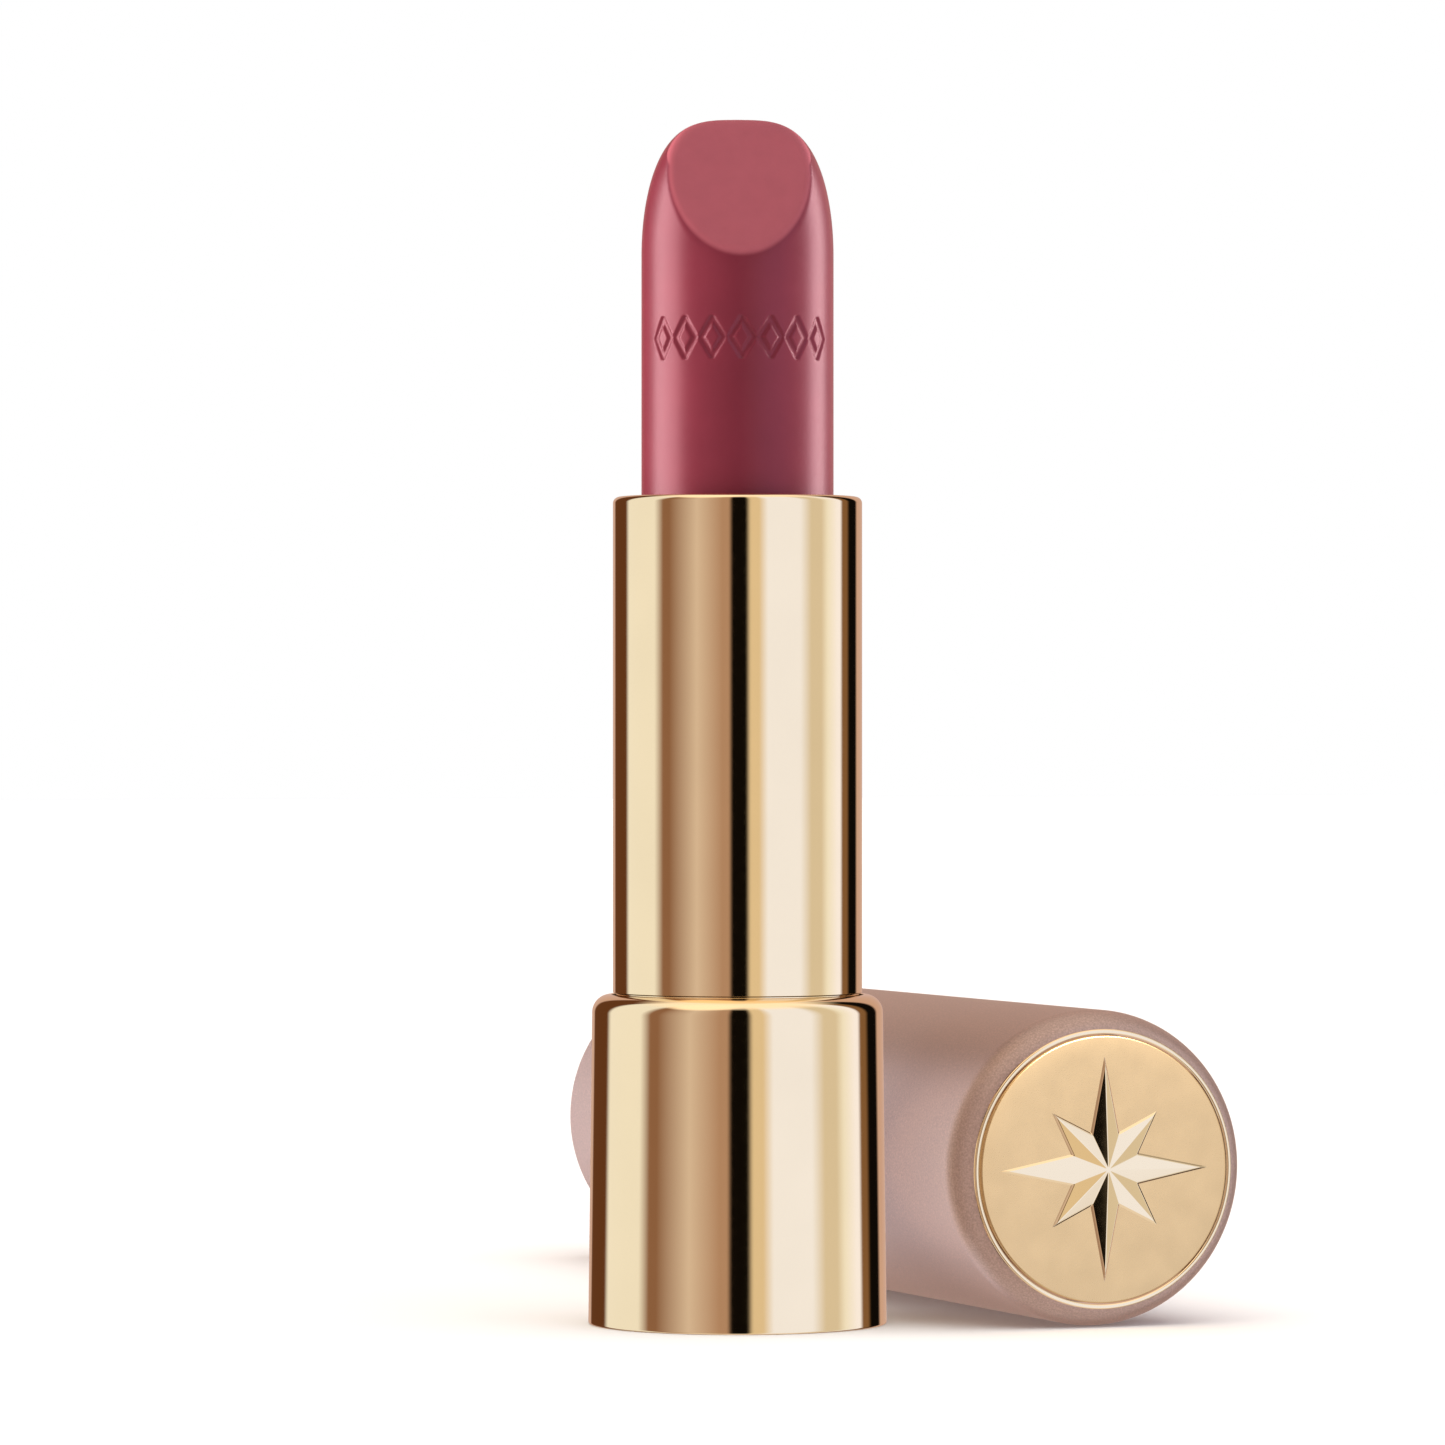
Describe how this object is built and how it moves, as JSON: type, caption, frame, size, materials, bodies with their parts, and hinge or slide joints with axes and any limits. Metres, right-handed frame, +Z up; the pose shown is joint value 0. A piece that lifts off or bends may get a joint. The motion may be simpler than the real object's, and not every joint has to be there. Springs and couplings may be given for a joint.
{
  "type": "twist-up lipstick case",
  "caption": "Slim round twist-up lipstick case standing open with its lipstick out, and its push-button cap lying beside it.",
  "frame": {"origin": "centre of the base's foot, on the case's axis", "axes": "+Z up along the case's axis; the cap lies beside the case towards +X with its axis along Y and its mouth towards +Y"},
  "size_m": [0.0393, 0.072, 0.0757],
  "materials": {
    "cap_paint": "satin metallic mauve-taupe lacquer with a fine pearl",
    "gold_mirror": "mirror-polished pale gold anodised",
    "gold_satin": "pale gold, satin field with polished raised relief",
    "ivory_plastic": "smooth moulded, slightly glossy",
    "black_plastic": "smooth moulded",
    "steel": "plain bright",
    "silicone": "matt silicone",
    "label_paper": "matt printed film, left blank",
    "lipstick": "satin wax, rose mauve, matt where it was cut"
  },
  "bodies": {
    "base": {"base_sleeve": "gold_mirror", "base_plug": "ivory_plastic", "base_weight": "steel", "base_label": "label_paper", "guide_tube": "ivory_plastic", "brake_ring": "silicone", "retaining_ring": "steel"},
    "tube": {"tube_shell": "gold_mirror", "spiral_cam": "ivory_plastic"},
    "carrier": {"cup": "ivory_plastic", "bullet": "lipstick"},
    "cap": {"cap_shell": "cap_paint", "cap_liner": "ivory_plastic", "cap_bezel": "gold_mirror", "button_guide": "ivory_plastic", "button_spring": "steel"},
    "button": {"button_disc": "gold_satin", "button_stem": "black_plastic", "ejector_bell": "ivory_plastic", "stem_clip": "steel"}
  },
  "joints": [
    {"name": "cup_rise", "type": "slide", "parent": "base", "child": "carrier", "axis": [0, 0, 1], "range_m": [-0.0245, 0]},
    {"name": "shell_twist", "type": "hinge", "parent": "base", "child": "tube", "pos_m": [0, 0, 0], "axis": [0, 0, 1], "range_deg": [0, 450]},
    {"name": "cap_lift", "type": "slide", "parent": "base", "child": "cap", "axis": [0, 0, 1], "range_m": [0, 0.1]},
    {"name": "button_press", "type": "slide", "parent": "cap", "child": "button", "axis": [0, 1, 0], "range_m": [0, 0.0018], "stiffness_N_per_m": 1200, "springref_m": -0.001, "deforming": ["button_spring"]}
  ],
  "couplings": [
    {"joint": "shell_twist", "follows": "cup_rise", "rad_per_m": -320.57}
  ]
}
